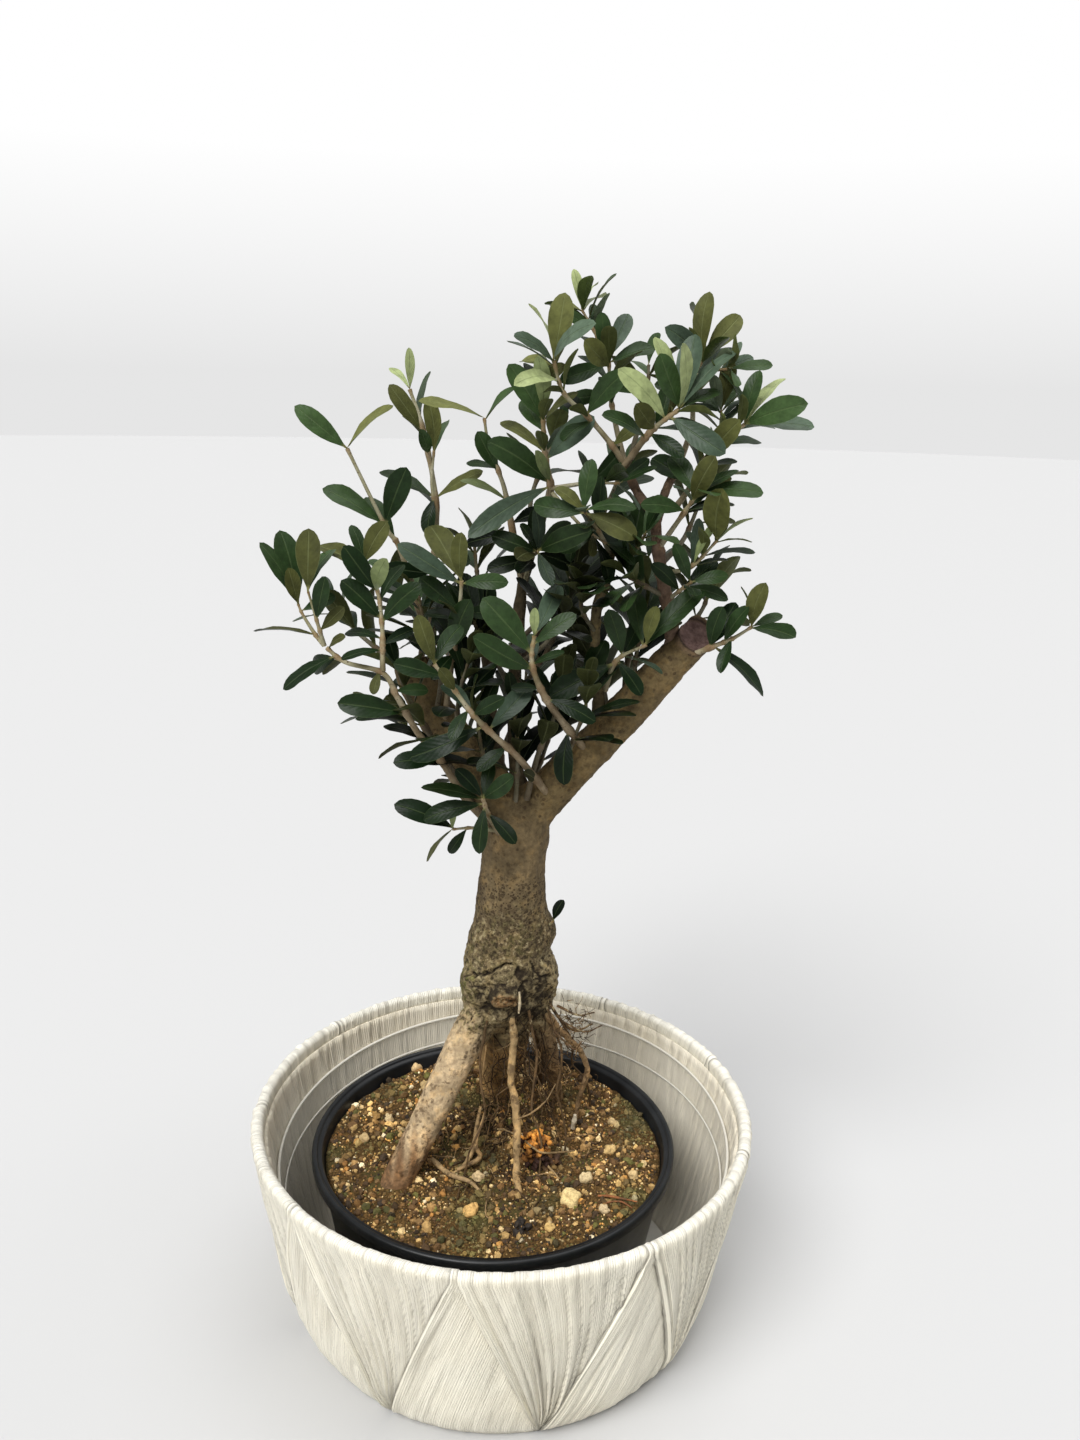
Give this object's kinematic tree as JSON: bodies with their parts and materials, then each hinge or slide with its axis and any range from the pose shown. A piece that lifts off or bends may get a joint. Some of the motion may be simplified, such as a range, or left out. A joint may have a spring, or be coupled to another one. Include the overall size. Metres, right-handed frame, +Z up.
{
  "type": "olive bonsai",
  "caption": "Olive bonsai with bare spreading roots, a forked sawn trunk and leafy shoots, in a black nursery pot inside a wide bowl wound with pleated ivory ribbon.",
  "frame": {"origin": "centre of the bowl's underside, on the surface it stands on", "axes": "+Z up; +X towards the long sawn limb; -Y towards the side it is looked at from"},
  "size_m": [0.2598, 0.2578, 0.5187],
  "materials": {
    "ribbon": "matte",
    "shell": "matte",
    "liner": "gloss",
    "pot": "satin",
    "soil": "matte",
    "bark": "matte",
    "leaf": "satin"
  },
  "bodies": {
    "root": {"bowl_ribbon_wrap": "ribbon", "bowl_shell": "shell", "bowl_liner": "liner", "nursery_pot": "pot", "potting_soil": "soil", "olive_trunk": "bark", "shoot_left_high": "leaf", "shoot_left_upright": "leaf", "shoot_mid_left_high": "leaf", "shoot_centre_top": "leaf", "shoot_centre_upper": "leaf", "shoot_top_cluster": "leaf", "shoot_right_upper": "leaf", "shoot_right_tall": "leaf", "shoot_right_far": "leaf", "shoot_right_mid": "leaf", "shoot_centre_olive": "leaf", "shoot_centre_mid": "leaf", "shoot_left_low_twig": "leaf", "shoot_left_tip": "leaf", "shoot_left_upright_low": "leaf", "shoot_left_twig_second": "leaf", "shoot_low_front": "leaf", "shoot_front_left": "leaf", "shoot_front_centre": "leaf", "shoot_front_high": "leaf", "shoot_right_end": "leaf", "shoot_right_over_limb": "leaf", "shoot_over_right_limb": "leaf", "shoot_heart_low": "leaf", "shoot_heart_left": "leaf", "shoot_heart_inner": "leaf", "shoot_heart_right": "leaf", "shoot_heart_upright": "leaf", "shoot_heart_fork": "leaf", "shoot_heart_red": "leaf", "shoot_heart_limb": "leaf", "shoot_back_top": "leaf", "shoot_back_left": "leaf", "shoot_back_right": "leaf", "shoot_back_limb_left": "leaf", "shoot_back_limb_low": "leaf", "shoot_back_limb_right": "leaf", "shoot_back_over_limb": "leaf", "shoot_back_centre": "leaf", "shoot_back_low": "leaf", "shoot_back_low_right": "leaf", "shoot_back_deep": "leaf", "shoot_back_crown": "leaf", "shoot_back_red": "leaf", "shoot_back_high_left": "leaf", "shoot_deep_left": "leaf", "shoot_deep_right": "leaf", "shoot_deep_middle": "leaf", "shoot_low_right_limb": "leaf", "shoot_low_left_limb": "leaf", "shoot_fork_left": "leaf", "shoot_fork_middle": "leaf", "shoot_fork_deep": "leaf", "shoot_trunk_sprout": "leaf"}
  },
  "joints": []
}
